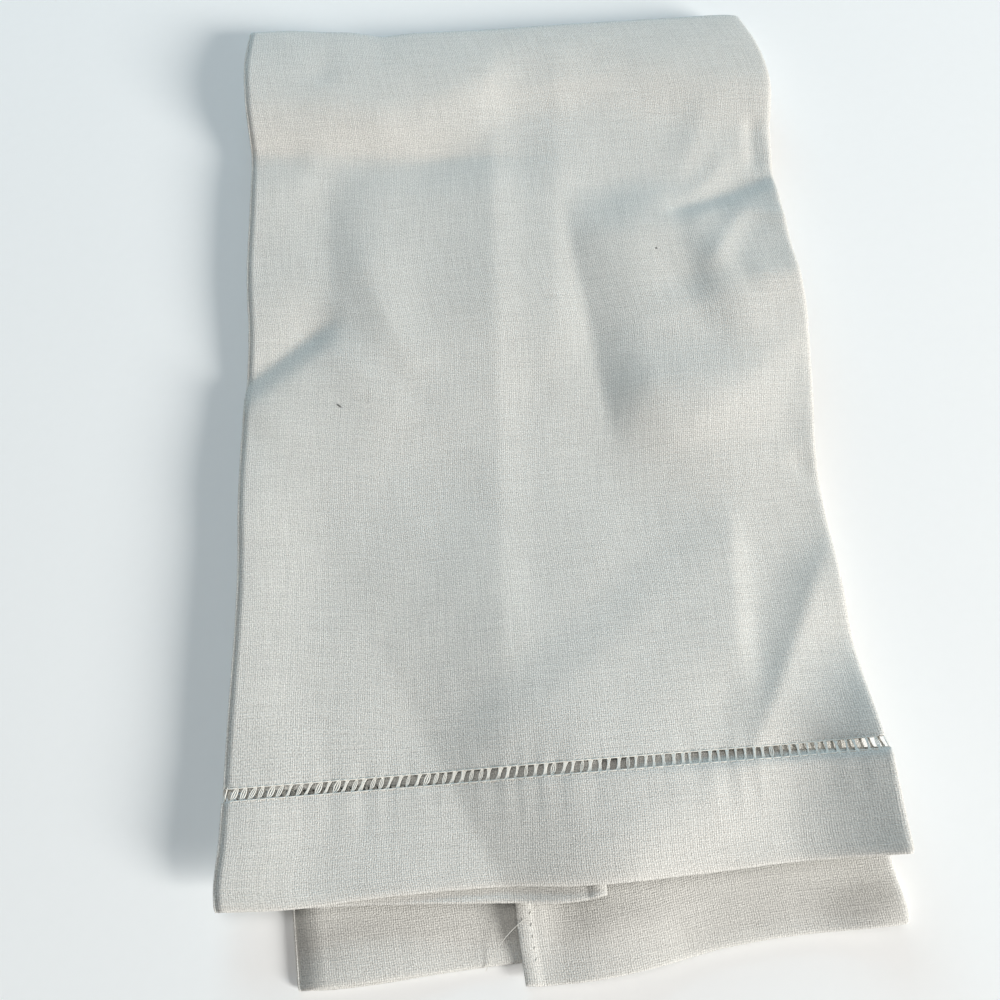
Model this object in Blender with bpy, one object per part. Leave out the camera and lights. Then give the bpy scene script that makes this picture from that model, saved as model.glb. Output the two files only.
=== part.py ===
"""A hemstitched linen hand towel, folded in three lengthwise and then in half.

The towel is one cut of cloth, so it is one solid. Both long sides are folded to the back, the
left one first and the right one over it. The strip is then folded in half across, with its face
outside. The front leaf lies on the back leaf, which is turned a little, so that its end shows
below the front hem.

A point of the cloth is named by its leaf and row (how far it is from the cross fold), by its
place across the three layers, and by its depth below the outside of the folded strip.

Metres, +Z up. +Y runs from the hems to the cross fold, and the back leaf lies on Z = 0.
"""
from collections import namedtuple
from math import cos, hypot, pi, radians, sin, sqrt, tan

import bpy

# Driving dimensions
THICKNESS = 0.0010         # one layer of cloth
LAYER_PITCH = 0.0014       # from the face of one layer to the face of the next
LEAF_GAP = 0.00035         # between the two leaves where they lie closest
HEM_DEPTH = 0.0240         # turned hem at each end
LADDER_HEIGHT = 0.0030     # band of drawn threads above each hem
LADDER_STEP = 0.0005       # the cloth thins down to the ladder over this length
LADDER_DIP = 0.0002        # on each face, where the threads are drawn out
LEAF_LENGTH = 0.2650       # cross fold to front hem, for places along a leaf
TIP_RADIUS = 0.0046        # outside of the cross fold, at its tip
TIP_REACH = radians(78)    # how far round the tip's arc goes before the front leaf's own slope
SETTLE = 0.0240            # from the crest behind the cross fold down to the flat front leaf
PLAN_ORIGIN = (0.01068, 0.02252)  # middle of the folded outline, in the tables' coordinates
LINEN = (0.62, 0.60, 0.55, 1.0)

# Where the long folds and the free edges of the flaps run, across the towel.
# share is 0 at the cross fold and 1 at the hem.
Edges = namedtuple("Edges", "share left_fold right_fold left_flap right_flap")
FRONT_EDGES = (
    Edges(0.00, -0.0712, 0.0912, 0.0310, 0.0050),
    Edges(0.05, -0.0720, 0.0944, 0.0306, 0.0046),
    Edges(0.11, -0.0713, 0.0957, 0.0300, 0.0040),
    Edges(0.17, -0.0701, 0.0938, 0.0286, 0.0024),
    Edges(0.25, -0.0700, 0.0918, 0.0268, 0.0002),
    Edges(0.34, -0.0706, 0.0912, 0.0248, -0.0016),
    Edges(0.42, -0.0698, 0.0922, 0.0236, -0.0028),
    Edges(0.50, -0.0705, 0.0908, 0.0226, -0.0036),
    Edges(0.60, -0.0711, 0.0878, 0.0216, -0.0048),
    Edges(0.72, -0.0709, 0.0881, 0.0206, -0.0062),
    Edges(0.86, -0.0727, 0.0883, 0.0192, -0.0078),
    Edges(0.94, -0.0736, 0.0886, 0.0184, -0.0088),
    Edges(0.98, -0.0747, 0.0888, 0.0180, -0.0093),
    Edges(1.00, -0.0743, 0.0889, 0.0179, -0.0095),
)
BACK_EDGES = (
    Edges(0.00, -0.0712, 0.0912, 0.0310, 0.0050),
    Edges(0.08, -0.0700, 0.0905, 0.0325, 0.0046),
    Edges(0.50, -0.0640, 0.0885, 0.0430, 0.0008),
    Edges(0.86, -0.0582, 0.0885, 0.0530, -0.0030),
    Edges(0.94, -0.0572, 0.0893, 0.0550, -0.0036),
    Edges(1.00, -0.0560, 0.0900, 0.0566, -0.0024),
)

# Lines that run across the towel, as rows of x and y
Line = namedtuple("Line", "x y")
FOLD_TIP = (
    Line(-0.070, 0.1668), Line(-0.058, 0.1667), Line(-0.048, 0.1655), Line(-0.038, 0.1645),
    Line(-0.033, 0.1634), Line(-0.028, 0.1622), Line(-0.018, 0.1628), Line(0.006, 0.1627),
    Line(0.031, 0.1632), Line(0.066, 0.1634), Line(0.086, 0.1635), Line(0.091, 0.1626),
)
FRONT_BODY_HEM = (
    Line(-0.074, -0.1003), Line(-0.056, -0.1009), Line(-0.035, -0.0998), Line(-0.007, -0.0994),
    Line(0.012, -0.1002), Line(0.041, -0.0996), Line(0.065, -0.0986), Line(0.089, -0.0982),
)
FRONT_LEFT_HEM = (
    Line(-0.074, -0.1003), Line(-0.056, -0.1009), Line(-0.036, -0.1014), Line(-0.007, -0.1030),
    Line(0.007, -0.1039), Line(0.012, -0.1036), Line(0.018, -0.1026),
)
FRONT_RIGHT_HEM = (Line(-0.010, -0.0955), Line(0.040, -0.0960), Line(0.089, -0.0982))
BACK_BODY_HEM = (
    Line(-0.056, -0.1193), Line(-0.047, -0.1196), Line(-0.036, -0.1191), Line(-0.022, -0.1180),
    Line(-0.005, -0.1171), Line(0.040, -0.1156), Line(0.090, -0.1144),
)
BACK_LEFT_HEM = (Line(-0.056, -0.1193), Line(-0.022, -0.1176), Line(0.057, -0.1145))
BACK_RIGHT_HEM = (
    Line(-0.002, -0.1217), Line(0.002, -0.1220), Line(0.016, -0.1213), Line(0.031, -0.1194),
    Line(0.045, -0.1170), Line(0.060, -0.1156), Line(0.081, -0.1149), Line(0.090, -0.1144),
)

# How far the loose cross fold bulges: the distance from its tip to its crest
CREST_DISTANCE = (
    Line(-0.070, 0.0320), Line(-0.020, 0.0310), Line(0.000, 0.0250), Line(0.010, 0.0190),
    Line(0.033, 0.0160), Line(0.060, 0.0220), Line(0.075, 0.0270), Line(0.092, 0.0280),
)

# Main folds of the front leaf. Each starts at a crease from (x0, y0) to (x1, y1). To its right
# the cloth climbs to height over the width rise, and sinks back over the width fall.
Fold = namedtuple("Fold", "x0 y0 x1 y1 rise fall height")
FRONT_FOLDS = {
    "flap overlap": Fold(0.006, -0.110, 0.010, 0.150, 0.008, 0.030, 0.0007),
    "trough beside the overlap": Fold(0.032, 0.004, 0.026, 0.100, 0.019, 0.024, 0.0026),
    "upper right fold": Fold(0.098, 0.101, 0.056, 0.082, -0.030, 0.026, 0.0026),
    "left tent, outer side": Fold(-0.075, 0.034, -0.045, 0.060, 0.016, 0.050, 0.0020),
    "left tent, inner side": Fold(-0.036, 0.060, -0.018, 0.032, 0.016, 0.030, 0.0013),
    "right ridge": Fold(0.054, -0.068, 0.064, -0.004, -0.012, 0.012, 0.0012),
    "right trough": Fold(0.057, -0.072, 0.088, 0.000, 0.014, 0.022, 0.0024),
    "hem fold": Fold(-0.032, -0.050, -0.004, -0.104, 0.018, 0.016, 0.0010),
}

# Rows of the mesh, as shares of the way from the cross fold to the hem, and columns
FRONT_SHARES = (0.035, 0.075, 0.115, 0.155, 0.20, 0.245, 0.29, 0.335, 0.38, 0.425,
                0.475, 0.53, 0.59, 0.65, 0.71, 0.77, 0.83)
BACK_SHARES = (0.05, 0.12, 0.20, 0.29, 0.38, 0.48, 0.58, 0.68, 0.78, 0.85)
TIP_STEPS = 9
EDGE_STEPS = 4
ZONE_STEPS = (8, 3, 7)     # left fold to right flap's edge, to left flap's edge, to right fold

LAYER_LEVEL = {"body": 0, "left": 1, "right": 2}
LAYER_DEPTH = {layer: level * LAYER_PITCH for layer, level in LAYER_LEVEL.items()}
STRIP_DEPTH = 2 * LAYER_PITCH + THICKNESS
FRONT_REST = 2 * STRIP_DEPTH + LEAF_GAP


def smooth(t):
    """0 below 0, 1 above 1, and a soft step between."""
    t = min(max(t, 0.0), 1.0)
    return t * t * (3 - 2 * t)


def curve(rows, at, column):
    """A smooth curve through a table's rows, read at its first column's value."""
    knots = [row[0] for row in rows]
    values = [getattr(row, column) for row in rows]
    at = min(max(at, knots[0]), knots[-1])
    i = max(k for k in range(len(rows) - 1) if knots[k] <= at)
    slopes = []
    for k in (i, i + 1):
        before, after = max(k - 1, 0), min(k + 1, len(rows) - 1)
        slopes.append((values[after] - values[before]) / (knots[after] - knots[before]))
    span = knots[i + 1] - knots[i]
    t = (at - knots[i]) / span
    return (values[i] * (1 + 2 * t) * (1 - t) ** 2 + values[i + 1] * t * t * (3 - 2 * t)
            + span * (slopes[0] * t * (1 - t) ** 2 - slopes[1] * t * t * (1 - t)))


def fold_height(fold, x, y):
    """Height that one fold adds at a point of the front leaf."""
    length = hypot(fold.x1 - fold.x0, fold.y1 - fold.y0)
    ax, ay = (fold.x1 - fold.x0) / length, (fold.y1 - fold.y0) / length
    along = ((x - fold.x0) * ax + (y - fold.y0) * ay) / length
    aside = (x - fold.x0) * ay - (y - fold.y0) * ax
    if fold.rise < 0:
        aside = -aside
    rise = abs(fold.rise)
    ends = smooth(along / 0.25) * smooth((1 - along) / 0.25)
    if aside < rise:
        return fold.height * ends * sin(pi / 2 * max(aside, 0.0) / rise)
    return fold.height * ends * (1 - smooth((aside - rise) / fold.fall))


def front_relief(x, y, distance):
    """Height of the front leaf's folds above its flat lie. They fade out at the cross fold."""
    height = sum(fold_height(fold, x, y) for fold in FRONT_FOLDS.values())
    return height * smooth((distance - 0.020) / 0.020)


def overhang_droop(x, share):
    """How far the front leaf hangs down where it reaches past the back leaf's left fold."""
    over = curve(BACK_EDGES, share * 0.93, "left_fold") - x
    return 0.0016 * smooth(over / 0.018)


def end_lift(level, x, y):
    """The back leaf's flaps puff up where their end lies free of the front leaf."""
    free = smooth((-0.1040 - y) / 0.010)
    left_puff = 0.0009 * smooth((x + 0.055) / 0.010)
    flap_edge = 0.0012 * (1 - smooth((x - 0.004) / 0.020))
    return free * (left_puff * min(level, 1.0) + flap_edge * max(level - 1.0, 0.0))


def tip_arc(turn):
    """Distance from the fold's tip, height and outward direction on the tip's arc."""
    return (TIP_RADIUS * (1 - cos(turn)), TIP_RADIUS * (1 + sin(turn)), -cos(turn), sin(turn))


def front_lie(distance, x):
    """Height and outward direction of the front leaf, behind the tip's arc."""
    join, join_height, _, _ = tip_arc(TIP_REACH)
    crest = curve(CREST_DISTANCE, x, "y")
    start_slope = 1 / tan(TIP_REACH)
    crest_height = join_height + start_slope * (crest - join) / 2
    if distance < crest:
        slope = start_slope * (crest - distance) / (crest - join)
        height = crest_height - slope * (crest - distance) / 2
    else:
        t = min((distance - crest) / SETTLE, 1.0)
        height = crest_height + (FRONT_REST - crest_height) * smooth(t)
        slope = (FRONT_REST - crest_height) * 6 * t * (1 - t) / SETTLE
    steep = sqrt(1 + slope * slope)
    return height, -slope / steep, 1 / steep


Column = namedtuple("Column", "layer level face reverse")


def flat_column(layer, x, dip):
    """A column on a flat layer. face and reverse are x and depth on the cloth's two sides."""
    near = (x, LAYER_DEPTH[layer] + dip)
    far = (x, LAYER_DEPTH[layer] + THICKNESS - dip)
    if layer == "body":
        return Column(layer, 0, near, far)
    return Column(layer, LAYER_LEVEL[layer], far, near)


def fold_column(layer, edge, side, angle, dip):
    """A column round a long fold. angle runs from -90 degrees on the body to 90 on the flap."""
    centre = (LAYER_DEPTH[layer] + THICKNESS) / 2
    outer, inner = centre - dip, (LAYER_DEPTH[layer] - THICKNESS) / 2 + dip
    x, lean, drop = edge - side * centre, side * cos(angle), sin(angle)
    return Column(layer if angle > 0 else "body", LAYER_LEVEL[layer] * (1 + drop) / 2,
                  (x + outer * lean, centre + outer * drop), (x + inner * lean, centre + inner * drop))


def strip_section(edges_at, dip):
    """The towel folded in three, as columns from the left flap's free edge to the right flap's.
    The layers share their places across, so that they lie on each other without touching."""
    left, right = edges_at("left_fold"), edges_at("right_fold")
    stops = (left + (LAYER_DEPTH["left"] + THICKNESS) / 2, edges_at("right_flap"),
             edges_at("left_flap"), right - (LAYER_DEPTH["right"] + THICKNESS) / 2)
    across = [stops[0]]
    for start, end, steps in zip(stops, stops[1:], ZONE_STEPS):
        across += [start + (end - start) * k / steps for k in range(1, steps + 1)]
    angles = [pi * (k / EDGE_STEPS - 0.5) for k in range(1, EDGE_STEPS)]
    columns = [flat_column("left", x, dip) for x in across[ZONE_STEPS[0] + ZONE_STEPS[1]::-1]]
    columns += [fold_column("left", left, -1, angle, dip) for angle in reversed(angles)]
    columns += [flat_column("body", x, dip) for x in across]
    columns += [fold_column("right", right, 1, angle, dip) for angle in angles]
    return columns + [flat_column("right", x, dip) for x in across[:ZONE_STEPS[0] - 1:-1]]


def along_leaf(row, hem, x, start):
    """Distance from the cross fold's tip. The layers part only at the hem."""
    tip = curve(FOLD_TIP, x, "y")
    if row.at == 1.0:
        return tip - curve(hem, x, "y") - row.setback
    return start + row.at * (LEAF_LENGTH - start)


def place_front(row, hem, x, column, depth):
    distance = along_leaf(row, hem, x, tip_arc(TIP_REACH)[0])
    height, out_distance, out_up = front_lie(distance, x)
    y = curve(FOLD_TIP, x, "y") - distance
    height += front_relief(x, y, distance) - overhang_droop(x, row.share())
    return x, y + depth * out_distance, height - depth * out_up


def place_tip(row, hem, x, column, depth):
    distance, height, out_distance, out_up = tip_arc(row.at)
    y = curve(FOLD_TIP, x, "y") - distance
    return x, y + depth * out_distance, height - depth * out_up


def place_back(row, hem, x, column, depth):
    y = curve(FOLD_TIP, x, "y") - along_leaf(row, hem, x, TIP_RADIUS)
    return x, y, depth + end_lift(column.level, x, y)


HEMS = {
    "front": {"body": FRONT_BODY_HEM, "left": FRONT_LEFT_HEM, "right": FRONT_RIGHT_HEM},
    "back": {"body": BACK_BODY_HEM, "left": BACK_LEFT_HEM, "right": BACK_RIGHT_HEM},
    "tip": {"body": None, "left": None, "right": None},
}
PLACES = {"front": place_front, "back": place_back, "tip": place_tip}


class Row:
    """A row of the cloth's mesh. at is its share of the leaf, or its turn round the tip."""

    def __init__(self, leaf, at, setback=0.0, dip=0.0):
        self.leaf = leaf
        self.at = at
        self.setback = setback
        self.dip = dip

    def share(self):
        return 0.0 if self.leaf == "tip" else self.at - self.setback / LEAF_LENGTH


def hem_rows(leaf):
    """Rows at a hem, from the ladder's far side to the edge."""
    top = HEM_DEPTH + LADDER_HEIGHT
    setbacks = ((top, 0.0), (top - LADDER_STEP, LADDER_DIP), (HEM_DEPTH + LADDER_STEP, LADDER_DIP),
                (HEM_DEPTH, 0.0), (HEM_DEPTH / 2, 0.0), (0.0, 0.0))
    return [Row(leaf, 1.0, setback, dip) for setback, dip in setbacks]


def cloth_rows():
    """All rows of the cloth, from the front hem round the cross fold to the back hem."""
    front = [Row("front", share) for share in FRONT_SHARES] + hem_rows("front")
    back = [Row("back", share) for share in BACK_SHARES] + hem_rows("back")
    arc = TIP_REACH + pi / 2
    tip = [Row("tip", TIP_REACH - arc * k / TIP_STEPS) for k in range(TIP_STEPS + 1)]
    return front[::-1] + tip + back


def cloth_surfaces():
    """The cloth's face and its back, each as rows of points in the folded towel's frame."""
    face, reverse = [], []
    for row in cloth_rows():
        edges = BACK_EDGES if row.leaf == "back" else FRONT_EDGES
        section = strip_section(lambda name: curve(edges, row.share(), name), row.dip)
        for grid, side in ((face, "face"), (reverse, "reverse")):
            grid.append([])
            for column in section:
                x, depth = getattr(column, side)
                hem = HEMS[row.leaf][column.layer]
                point = PLACES[row.leaf](row, hem, x, column, depth)
                grid[-1].append((point[0] - PLAN_ORIGIN[0], point[1] - PLAN_ORIGIN[1], point[2]))
    return face, reverse


def grid_triangles(rows, columns, body_columns):
    """Triangles of a grid of points. Every layer is cut along the same diagonals of the plan."""
    triangles = []
    for r in range(rows - 1):
        for c in range(columns - 1):
            a, b = r * columns + c, (r + 1) * columns + c
            if c in body_columns:
                triangles += [(a, a + 1, b + 1), (a, b + 1, b)]
            else:
                triangles += [(a, a + 1, b), (a + 1, b + 1, b)]
    return triangles


def closed_mesh(name, face, reverse):
    """One closed mesh of two matching grids of points and the strip round their border."""
    rows, columns = len(face), len(face[0])
    count = rows * columns
    first_body = sum(ZONE_STEPS[:2]) + EDGE_STEPS
    skin = grid_triangles(rows, columns, range(first_body, first_body + sum(ZONE_STEPS)))
    triangles = skin + [(a + count, c + count, b + count) for a, b, c in skin]
    border = [c for c in range(columns)]
    border += [r * columns + columns - 1 for r in range(1, rows)]
    border += [(rows - 1) * columns + c for c in range(columns - 2, -1, -1)]
    border += [r * columns for r in range(rows - 2, 0, -1)]
    for a, b in zip(border, border[1:] + border[:1]):
        triangles += [(a, a + count, b + count), (a, b + count, b)]
    mesh = bpy.data.meshes.new(name)
    points = [point for grid in (face, reverse) for row in grid for point in row]
    mesh.from_pydata(points, [], triangles)
    mesh.update()
    return mesh


def linen_material():
    material = bpy.data.materials.new("linen")
    material.use_nodes = True
    shader = material.node_tree.nodes["Principled BSDF"]
    shader.inputs["Base Color"].default_value = LINEN
    shader.inputs["Roughness"].default_value = 0.9
    shader.inputs["Metallic"].default_value = 0.0
    return material


def make_towel():
    face, reverse = cloth_surfaces()
    mesh = closed_mesh("towel", face, reverse)
    mesh.materials.append(linen_material())
    mesh.shade_smooth()
    mesh.set_sharp_from_angle(angle=radians(50))
    towel = bpy.data.objects.new("towel", mesh)
    bpy.context.scene.collection.objects.link(towel)
    return towel


def main():
    for old in list(bpy.data.objects):
        bpy.data.objects.remove(old)
    make_towel()


main()
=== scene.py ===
"""A hemstitched linen hand towel, folded in three lengthwise and then in half, lying on a table.

The towel is one cut of cloth, 14 by 22 inches. Both long sides are folded to the back, the left
one first and the right one over it. The strip is then folded in half across, with its face
outside. The front leaf lies on the back leaf, whose end shows below the front hem.

Metres, +Z up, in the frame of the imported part. +Y runs from the hems to the cross fold. The
tables give places in the plan of the folded towel, before PLAN_ORIGIN is taken off.
"""

from collections import namedtuple
from math import cos, exp, hypot, pi, radians, sin, tan

import bpy
import numpy as np
from mathutils import Matrix, Vector


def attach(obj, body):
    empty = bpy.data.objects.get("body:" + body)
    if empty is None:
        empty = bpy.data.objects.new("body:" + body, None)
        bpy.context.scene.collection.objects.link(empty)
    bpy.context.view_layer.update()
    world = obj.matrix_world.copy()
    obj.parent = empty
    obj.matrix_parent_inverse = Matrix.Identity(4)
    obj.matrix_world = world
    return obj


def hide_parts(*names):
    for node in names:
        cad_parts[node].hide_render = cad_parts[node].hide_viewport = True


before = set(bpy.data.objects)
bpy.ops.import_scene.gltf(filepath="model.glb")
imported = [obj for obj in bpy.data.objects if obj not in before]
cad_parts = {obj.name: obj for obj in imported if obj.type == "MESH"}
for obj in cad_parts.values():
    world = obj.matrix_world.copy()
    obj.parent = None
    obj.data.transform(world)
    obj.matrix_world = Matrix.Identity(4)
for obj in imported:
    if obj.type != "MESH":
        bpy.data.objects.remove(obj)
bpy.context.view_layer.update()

# Sizes of the cloth
FLAT_WIDTH, FLAT_LENGTH = 0.356, 0.559   # the towel laid open: 14 by 22 inches
LINEN_THICK = 0.00050      # one layer of linen
HEM_THICK = 0.00095        # the turned hem at each end
SIDE_HEM_THICK = 0.00105   # the narrow turned hem along each long side
SIDE_HEM_WIDTH = 0.0038
LAYER_PITCH = 0.0014       # from one layer of the folded strip to the next
LAYER_SINK = 0.0005        # how much less of it there is at the back leaf's open end
HEM_DEPTH = 0.0240
LADDER_HEIGHT = 0.0030     # band of drawn threads above each hem
LADDER_PITCH = 0.00225     # from bar to bar

# Shape of the fold
LEAF_LENGTH = 0.2650       # cross fold to front hem, for places along a leaf
TIP_RADIUS = 0.0046        # outside of the cross fold, at its tip
TIP_REACH = radians(78)    # how far round the tip's arc goes before the front leaf's own slope
SETTLE = 0.0240            # from the crest behind the cross fold down to the flat front leaf
FRONT_REST = 0.00795       # height of the front leaf's face where it lies flat
PLAN_ORIGIN = (0.01068, 0.02252)
FLOOR_GAP = 0.0002         # between the cloth's underside and the table, for the stitches
STITCH_INSET = 0.0002      # the side hems' stitches, from the hem's inner edge

# Where the long folds and the free edges of the flaps run, across the towel.
# share is 0 at the cross fold and 1 at the hem.
Edges = namedtuple("Edges", "share left_fold right_fold left_flap right_flap")
FRONT_EDGES = (
    Edges(0.00, -0.0712, 0.0912, 0.0310, 0.0050),
    Edges(0.05, -0.0720, 0.0944, 0.0306, 0.0046),
    Edges(0.11, -0.0713, 0.0957, 0.0300, 0.0040),
    Edges(0.17, -0.0701, 0.0938, 0.0286, 0.0024),
    Edges(0.25, -0.0700, 0.0918, 0.0268, 0.0002),
    Edges(0.34, -0.0706, 0.0912, 0.0248, -0.0016),
    Edges(0.42, -0.0698, 0.0922, 0.0236, -0.0028),
    Edges(0.50, -0.0705, 0.0908, 0.0226, -0.0036),
    Edges(0.60, -0.0711, 0.0878, 0.0216, -0.0048),
    Edges(0.72, -0.0709, 0.0881, 0.0206, -0.0062),
    Edges(0.86, -0.0727, 0.0883, 0.0192, -0.0078),
    Edges(0.94, -0.0736, 0.0886, 0.0184, -0.0088),
    Edges(0.98, -0.0747, 0.0888, 0.0180, -0.0093),
    Edges(1.00, -0.0743, 0.0889, 0.0179, -0.0095),
)
BACK_EDGES = (
    Edges(0.00, -0.0712, 0.0912, 0.0310, 0.0050),
    Edges(0.08, -0.0700, 0.0905, 0.0325, 0.0046),
    Edges(0.50, -0.0640, 0.0885, 0.0430, 0.0008),
    Edges(0.86, -0.0582, 0.0885, 0.0530, -0.0030),
    Edges(0.94, -0.0572, 0.0893, 0.0550, -0.0036),
    Edges(1.00, -0.0560, 0.0900, 0.0566, -0.0024),
)

# Lines that run across the towel, as rows of x and y
Line = namedtuple("Line", "x y")
FOLD_TIP = (
    Line(-0.070, 0.1668), Line(-0.058, 0.1667), Line(-0.048, 0.1655), Line(-0.038, 0.1645),
    Line(-0.033, 0.1634), Line(-0.028, 0.1622), Line(-0.018, 0.1628), Line(0.006, 0.1627),
    Line(0.031, 0.1632), Line(0.066, 0.1634), Line(0.086, 0.1635), Line(0.091, 0.1626),
)
FRONT_BODY_HEM = (
    Line(-0.074, -0.1003), Line(-0.056, -0.1009), Line(-0.035, -0.0998), Line(-0.007, -0.0994),
    Line(0.012, -0.1002), Line(0.041, -0.0996), Line(0.065, -0.0986), Line(0.089, -0.0982),
)
FRONT_LEFT_HEM = (
    Line(-0.074, -0.1003), Line(-0.056, -0.1009), Line(-0.036, -0.1014), Line(-0.007, -0.1030),
    Line(0.007, -0.1039), Line(0.012, -0.1036), Line(0.018, -0.1026),
)
FRONT_RIGHT_HEM = (Line(-0.010, -0.0955), Line(0.040, -0.0960), Line(0.089, -0.0982))
FRONT_LADDER_FOOT = (Line(-0.075, -0.0757), Line(0.090, -0.0746))
BACK_BODY_HEM = (
    Line(-0.056, -0.1193), Line(-0.047, -0.1196), Line(-0.036, -0.1191), Line(-0.022, -0.1180),
    Line(-0.005, -0.1171), Line(0.040, -0.1156), Line(0.090, -0.1144),
)
BACK_LEFT_HEM = (Line(-0.056, -0.1193), Line(-0.022, -0.1176), Line(0.057, -0.1145))
BACK_RIGHT_HEM = (
    Line(-0.002, -0.1217), Line(0.002, -0.1220), Line(0.016, -0.1213), Line(0.031, -0.1194),
    Line(0.045, -0.1170), Line(0.060, -0.1156), Line(0.081, -0.1149), Line(0.090, -0.1144),
)
HEMS = {
    "front": (FRONT_BODY_HEM, FRONT_LEFT_HEM, FRONT_RIGHT_HEM),
    "back": (BACK_BODY_HEM, BACK_LEFT_HEM, BACK_RIGHT_HEM),
}

# How far the loose cross fold bulges: the distance from its tip to its crest
CREST_DISTANCE = (
    Line(-0.070, 0.0320), Line(-0.020, 0.0310), Line(0.000, 0.0250), Line(0.010, 0.0190),
    Line(0.033, 0.0160), Line(0.060, 0.0220), Line(0.075, 0.0270), Line(0.092, 0.0280),
)

# Main folds of the front leaf. Each starts at a crease from (x0, y0) to (x1, y1). To its right
# the cloth climbs to height over the width rise, and sinks back over the width fall. fade is the
# share of the crease over which its far end dies out.
Fold = namedtuple("Fold", "x0 y0 x1 y1 rise fall height fade")
FRONT_FOLDS = {
    "trough beside the overlap": Fold(0.0335, 0.004, 0.0245, 0.098, 0.015, 0.050, 0.0038, 0.25),
    "upper right fold": Fold(0.110, 0.105, 0.046, 0.081, -0.030, 0.032, 0.0036, 0.25),
    "between the two": Fold(0.042, 0.036, 0.039, 0.106, 0.018, 0.030, 0.0010, 0.40),
    "left tent": Fold(-0.078, 0.031, -0.042, 0.059, 0.013, 0.040, 0.0011, 0.25),
    "hem fold": Fold(0.0113, -0.1327, -0.053, -0.004, 0.034, 0.074, 0.0050, 0.65),
    "hem fold, lowest part": Fold(0.0115, -0.126, -0.0303, -0.066, 0.030, 0.110, 0.0011, 0.22),
    "left side": Fold(-0.077, -0.130, -0.072, 0.036, 0.002, 0.026, 0.0018, 0.25),
    "under the crest": Fold(-0.050, 0.112, 0.042, 0.108, 0.046, 0.070, 0.0019, 0.25),
}

# Creases of the front leaf. Each runs from (x0, y0) to (x1, y1), bowed to its right at its middle
# by bow, and stands height above the cloth, or below it. The cloth levels off over the widths
# left and right. soft is how round its top is.
Crease = namedtuple("Crease", "x0 y0 x1 y1 bow height left right soft")
FRONT_CREASES = {
    "flap overlap": Crease(-0.006, -0.110, 0.0105, 0.210, 0.0, 0.0008, 0.022, 0.010, 0.0010),
    "overlap, upper half": Crease(0.0015, 0.026, 0.0065, 0.122, 0.0, 0.0005, 0.026, 0.060, 0.0010),
    "beside the overlap": Crease(0.018, 0.030, 0.0325, 0.190, 0.0, 0.0006, 0.016, 0.014, 0.0008),
    "pressed across": Crease(-0.062, 0.117, 0.022, 0.110, 0.001, -0.0011, 0.010, 0.016, 0.0005),
    "pressed, left end": Crease(-0.084, 0.119, -0.048, 0.114, 0.0, -0.0010, 0.007, 0.012, 0.0005),
    "tent, left crease": Crease(-0.080, 0.030, -0.0415, 0.0595, 0.0, -0.0019, 0.021, 0.008,
                                0.0005),
    "tent, upright crease": Crease(-0.046, 0.044, -0.046, 0.116, 0.0, -0.0006, 0.014, 0.009,
                                   0.0010),
    "tent, right crease": Crease(-0.038, 0.086, -0.019, 0.031, 0.0022, 0.0007, 0.013, 0.010,
                                 0.0006),
    "upper right, down": Crease(0.062, 0.050, 0.058, 0.093, 0.0, -0.0010, 0.022, 0.010, 0.0010),
    "upper right, across": Crease(0.053, 0.083, 0.099, 0.100, 0.0, -0.0011, 0.022, 0.006, 0.0005),
    "upper right, knuckle": Crease(0.0635, 0.060, 0.083, 0.090, 0.0, 0.0008, 0.006, 0.006, 0.0009),
    "upper right, short": Crease(0.078, 0.085, 0.096, 0.077, 0.0, 0.0006, 0.005, 0.005, 0.0006),
    "upper right, lower": Crease(0.074, 0.060, 0.097, 0.063, 0.003, 0.0008, 0.010, 0.008, 0.0015),
    "slanting ridge": Crease(0.030, -0.002, 0.116, 0.062, 0.0015, 0.0033, 0.034, 0.044, 0.0035),
    "long ridge": Crease(0.0555, -0.068, 0.0620, -0.002, 0.0, 0.0011, 0.034, 0.006, 0.0006),
    "trough, right edge": Crease(0.0520, -0.0808, 0.090, -0.014, 0.0008, 0.0022, 0.011, 0.018,
                                 0.0006),
    "by the right fold": Crease(0.088, 0.122, 0.086, 0.098, 0.0, -0.0008, 0.004, 0.003, 0.0006),
    "notch at the right fold": Crease(0.080, 0.006, 0.090, -0.010, 0.0, -0.0006, 0.006, 0.004,
                                      0.0008),
    "right fold, upper": Crease(0.093, 0.040, 0.093, 0.104, 0.0, 0.0014, 0.020, 0.010, 0.0020),
    "right fold, middle": Crease(0.092, -0.052, 0.092, 0.032, 0.0, 0.0011, 0.010, 0.010, 0.0015),
    "right fold, at the hem": Crease(0.094, -0.150, 0.092, -0.0435, 0.0, 0.0094, 0.028, 0.010,
                                     0.0030),
    "slant under the crest": Crease(0.060, 0.094, 0.076, 0.128, 0.0, 0.0004, 0.008, 0.008, 0.0010),
    "arc under the crest": Crease(0.060, 0.088, 0.080, 0.108, 0.0015, 0.0004, 0.005, 0.006,
                                  0.0008),
    "front of the crest": Crease(0.006, 0.133, 0.052, 0.138, 0.0, 0.0006, 0.010, 0.018, 0.0015),
    "top left": Crease(-0.047, 0.136, -0.046, 0.164, 0.0, -0.0005, 0.008, 0.007, 0.0010),
}

# Dark specks on the front leaf's face: where, how long and wide, and turned how far from across
Speck = namedtuple("Speck", "x y length width turn")
SPECKS = (
    Speck(0.0512, 0.0711, 0.0008, 0.0007, 0.0), Speck(-0.0433, 0.0280, 0.0021, 0.0006, -0.65),
)

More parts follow.
